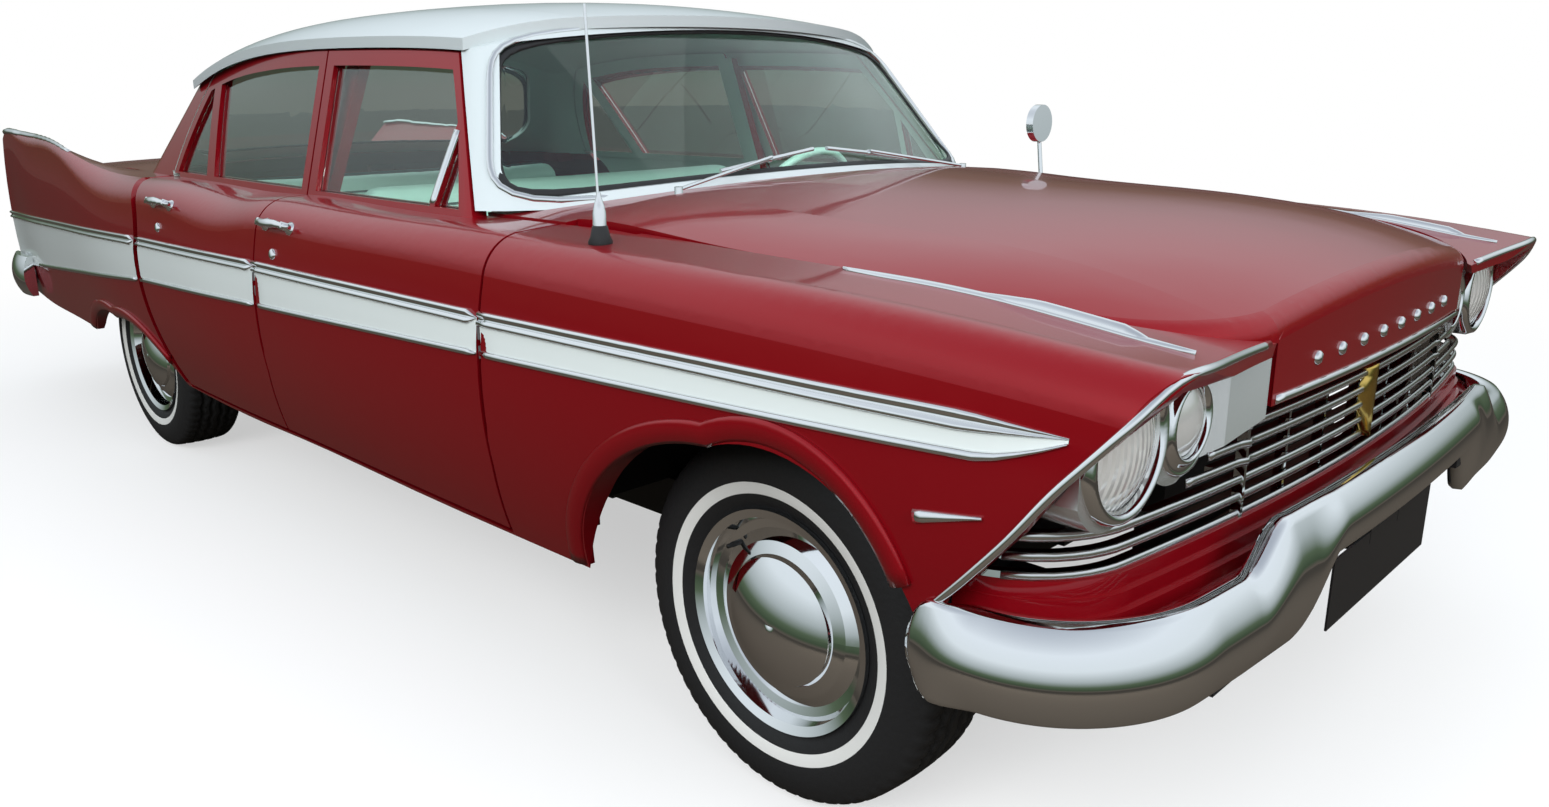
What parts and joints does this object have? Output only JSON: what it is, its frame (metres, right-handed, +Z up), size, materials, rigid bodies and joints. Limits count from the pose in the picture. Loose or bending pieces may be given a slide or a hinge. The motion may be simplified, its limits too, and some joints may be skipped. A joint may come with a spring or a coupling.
{
  "type": "1950s finned four-door sedan car",
  "caption": "Red and white 1950s finned sedan with chrome bumpers, twin lamps each side, opening doors, hood and trunk lid, steered front wheels.",
  "frame": {"origin": "on the ground under the middle of the overall box", "axes": "+X to the front of the car, +Y to its left, +Z up"},
  "size_m": [5.1964, 2.0238, 1.4409],
  "materials": {
    "paint_red": "gloss metallic",
    "paint_white": "gloss",
    "chrome": "polished",
    "glass": "clear",
    "lamp_clear": "clear",
    "lamp_red": "clear",
    "tyre": "matt",
    "steel_black": "satin",
    "steel_grey": "satin",
    "vinyl": "satin",
    "plastic_black": "satin",
    "silver": "satin metallic"
  },
  "bodies": {
    "body": {"frame": "steel_black", "floor_pan": "paint_red", "engine": "steel_grey", "driveline": "steel_grey", "rear_axle": "steel_black", "suspension": "steel_black", "exhaust": "steel_grey", "fuel_tank": "steel_black", "radiator": "steel_black", "rockers": "paint_red", "cowl": "paint_red", "deck_panel": "paint_red", "pillars": "paint_red", "roof": "paint_white", "body_glass": "glass", "front_fenders": "paint_red", "rear_quarters": "paint_red", "tail_panel": "paint_red", "lamp_nacelles": "silver", "front_lamps": "lamp_clear", "tail_lamps": "lamp_red", "grille": "chrome", "front_valance": "paint_red", "front_bumper": "chrome", "rear_bumper": "chrome", "plate_holder": "plastic_black", "hinge_pins": "steel_grey", "antenna": "chrome", "side_mirror": "chrome", "wipers": "chrome", "dash": "paint_red", "steering_column": "steel_black", "front_seat": "vinyl", "rear_seat": "vinyl"},
    "hood": {"hood": "paint_red"},
    "trunk_lid": {"trunk_lid": "paint_red"},
    "front_door_left": {"front_door_l": "paint_red", "front_glass_l": "glass"},
    "front_door_right": {"front_door_r": "paint_red", "front_glass_r": "glass"},
    "rear_door_left": {"rear_door_l": "paint_red", "rear_glass_l": "glass"},
    "rear_door_right": {"rear_door_r": "paint_red", "rear_glass_r": "glass"},
    "steering": {"steering_wheel": "plastic_black"},
    "knuckle_left": {"knuckle_l": "steel_black"},
    "knuckle_right": {"knuckle_r": "steel_black"},
    "front_wheel_left": {"wheel_fl": "chrome", "tyre_fl": "tyre"},
    "front_wheel_right": {"wheel_fr": "chrome", "tyre_fr": "tyre"},
    "rear_wheel_left": {"wheel_rl": "chrome", "tyre_rl": "tyre"},
    "rear_wheel_right": {"wheel_rr": "chrome", "tyre_rr": "tyre"}
  },
  "joints": [
    {"name": "hood_hinge", "type": "hinge", "parent": "body", "child": "hood", "pos_m": [1.306, 0, 1.006], "axis": [0, -1, 0], "range_deg": [0, 55]},
    {"name": "trunk_hinge", "type": "hinge", "parent": "body", "child": "trunk_lid", "pos_m": [-1.386, 0, 0.96], "axis": [0, 1, 0], "range_deg": [0, 60]},
    {"name": "front_door_left_hinge", "type": "hinge", "parent": "body", "child": "front_door_left", "pos_m": [1.222, 1.002, 0.745], "axis": [0, 0, -1], "range_deg": [0, 65]},
    {"name": "front_door_right_hinge", "type": "hinge", "parent": "body", "child": "front_door_right", "pos_m": [1.222, -1.002, 0.745], "axis": [0, 0, 1], "range_deg": [0, 65]},
    {"name": "rear_door_left_hinge", "type": "hinge", "parent": "body", "child": "rear_door_left", "pos_m": [0.214, 1.004, 0.745], "axis": [0, 0, -1], "range_deg": [0, 65]},
    {"name": "rear_door_right_hinge", "type": "hinge", "parent": "body", "child": "rear_door_right", "pos_m": [0.214, -1.004, 0.745], "axis": [0, 0, 1], "range_deg": [0, 65]},
    {"name": "steer_right", "type": "hinge", "parent": "body", "child": "knuckle_right", "pos_m": [1.855, -0.69, 0.33], "axis": [0, 0, 1], "range_deg": [-30, 30]},
    {"name": "steer_left", "type": "hinge", "parent": "body", "child": "knuckle_left", "pos_m": [1.855, 0.69, 0.33], "axis": [0, 0, 1], "range_deg": [-30, 30]},
    {"name": "steering_wheel_turn", "type": "hinge", "parent": "body", "child": "steering", "pos_m": [0.778, 0.37, 0.838], "axis": [-0.8907, 0, 0.4545], "range_deg": [-480, 480]},
    {"name": "front_wheel_left_spin", "type": "hinge", "parent": "knuckle_left", "child": "front_wheel_left", "pos_m": [1.855, 0.773, 0.33], "axis": [0, 1, 0], "continuous": true},
    {"name": "front_wheel_right_spin", "type": "hinge", "parent": "knuckle_right", "child": "front_wheel_right", "pos_m": [1.855, -0.773, 0.33], "axis": [0, 1, 0], "continuous": true},
    {"name": "rear_wheel_left_spin", "type": "hinge", "parent": "body", "child": "rear_wheel_left", "pos_m": [-1.142, 0.757, 0.33], "axis": [0, 1, 0], "continuous": true},
    {"name": "rear_wheel_right_spin", "type": "hinge", "parent": "body", "child": "rear_wheel_right", "pos_m": [-1.142, -0.757, 0.33], "axis": [0, 1, 0], "continuous": true}
  ],
  "couplings": [
    {"joint": "steer_left", "follows": "steer_right", "ratio": 1},
    {"joint": "steering_wheel_turn", "follows": "steer_right", "ratio": 16}
  ]
}
